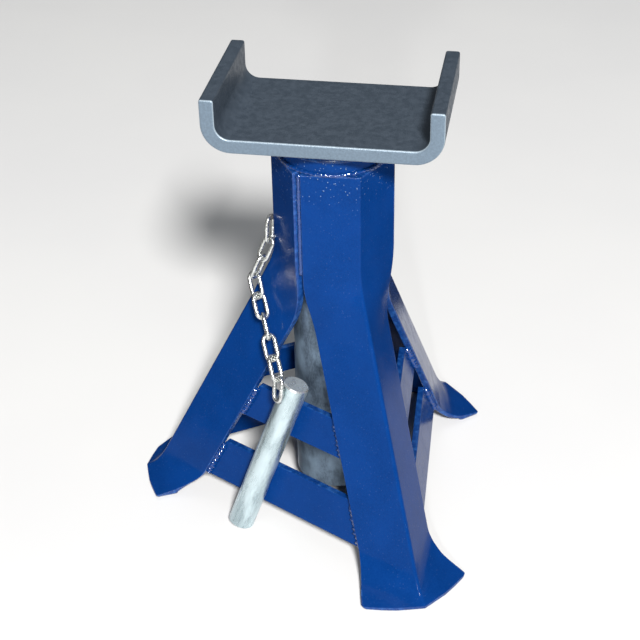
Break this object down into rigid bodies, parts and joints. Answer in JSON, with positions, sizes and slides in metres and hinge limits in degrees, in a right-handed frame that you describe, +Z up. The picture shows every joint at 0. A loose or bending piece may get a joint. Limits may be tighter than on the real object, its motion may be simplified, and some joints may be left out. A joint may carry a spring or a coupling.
{
  "type": "tripod axle stand",
  "caption": "Tripod axle stand: welded pressed-plate legs, braces and a tubular column that lifts in the head, a U saddle on top and a locking pin on a chain.",
  "frame": {"origin": "on the column's axis, at the level of the floor that the three feet stand on", "axes": "+Z up along the column, +X along the saddle's length, the left leg points to -X and the pin hangs on the -X -Y side"},
  "size_m": [0.2671, 0.2842, 0.354],
  "materials": {
    "blue_enamel": "glossy",
    "blue_enamel_weld": "glossy, lumpy",
    "bare_steel_tube": "mill scale, mottled",
    "dark_steel": "hot-rolled, dull satin",
    "weld_steel": "weld bead",
    "zinc_pin": "zinc plated, mottled",
    "zinc_chain": "bright zinc plated"
  },
  "bodies": {
    "stand": {"leg_left": "blue_enamel", "leg_front": "blue_enamel", "leg_rear": "blue_enamel", "collar": "blue_enamel", "upper_brace_front_left": "blue_enamel", "lower_brace_front_left": "blue_enamel", "seam_weld_front_left": "blue_enamel_weld", "brace_welds_front_left": "blue_enamel_weld", "upper_brace_right": "blue_enamel", "lower_brace_right": "blue_enamel", "seam_weld_right": "blue_enamel_weld", "brace_welds_right": "blue_enamel_weld", "upper_brace_back": "blue_enamel", "lower_brace_back": "blue_enamel", "seam_weld_back": "blue_enamel_weld", "brace_welds_back": "blue_enamel_weld", "collar_weld": "blue_enamel_weld", "chain_link_1": "zinc_chain", "chain_anchor_weld": "weld_steel"},
    "column": {"column": "bare_steel_tube"},
    "saddle": {"saddle": "dark_steel", "saddle_weld": "weld_steel"},
    "chain_link_2": {"chain_link_2": "zinc_chain"},
    "chain_link_3": {"chain_link_3": "zinc_chain"},
    "chain_link_4": {"chain_link_4": "zinc_chain"},
    "chain_link_5": {"chain_link_5": "zinc_chain"},
    "chain_link_6": {"chain_link_6": "zinc_chain"},
    "chain_link_7": {"chain_link_7": "zinc_chain"},
    "chain_link_8": {"chain_link_8": "zinc_chain"},
    "pin": {"pin": "zinc_pin", "chain_link_9": "zinc_chain", "pin_link_weld": "weld_steel"}
  },
  "joints": [
    {"name": "column_lift", "type": "slide", "parent": "stand", "child": "column", "axis": [0, 0, 1], "range_m": [0, 0.18]},
    {"name": "saddle_swivel", "type": "hinge", "parent": "column", "child": "saddle", "pos_m": [0, 0, 0.316], "axis": [0, 0, 1], "continuous": true},
    {"name": "chain_hinge_1", "type": "hinge", "parent": "stand", "child": "chain_link_2", "pos_m": [-0.04745, -0.00337, 0.22386], "axis": [-0.3568, -0.8986, 0.2553], "range_deg": [-8, 0]},
    {"name": "chain_hinge_2", "type": "hinge", "parent": "chain_link_2", "child": "chain_link_3", "pos_m": [-0.05337, -0.00519, 0.20943], "axis": [-0.6937, 0.6927, 0.1972], "range_deg": [0, 40]},
    {"name": "chain_hinge_3", "type": "hinge", "parent": "chain_link_3", "child": "chain_link_4", "pos_m": [-0.05929, -0.00701, 0.19501], "axis": [-0.4132, -0.8669, 0.2789], "range_deg": [-8, 0]},
    {"name": "chain_hinge_4", "type": "hinge", "parent": "chain_link_4", "child": "chain_link_5", "pos_m": [-0.05471, -0.01624, 0.18316], "axis": [0.8327, -0.2316, 0.503], "range_deg": [-15, 0]},
    {"name": "chain_hinge_5", "type": "hinge", "parent": "chain_link_5", "child": "chain_link_6", "pos_m": [-0.05012, -0.02548, 0.17132], "axis": [-0.7783, -0.6044, 0.17], "range_deg": [0, 15]},
    {"name": "chain_hinge_6", "type": "hinge", "parent": "chain_link_6", "child": "chain_link_7", "pos_m": [-0.04554, -0.03471, 0.15948], "axis": [0.1748, -0.7425, 0.6467], "range_deg": [-15, 0]},
    {"name": "chain_hinge_7", "type": "hinge", "parent": "chain_link_7", "child": "chain_link_8", "pos_m": [-0.04095, -0.04394, 0.14764], "axis": [0.9261, -0.0231, 0.3767], "range_deg": [-15, 0]},
    {"name": "pin_hinge", "type": "hinge", "parent": "chain_link_8", "child": "pin", "pos_m": [-0.03637, -0.05318, 0.1358], "axis": [-0.608, -0.7229, 0.3283], "range_deg": [0, 35]}
  ]
}
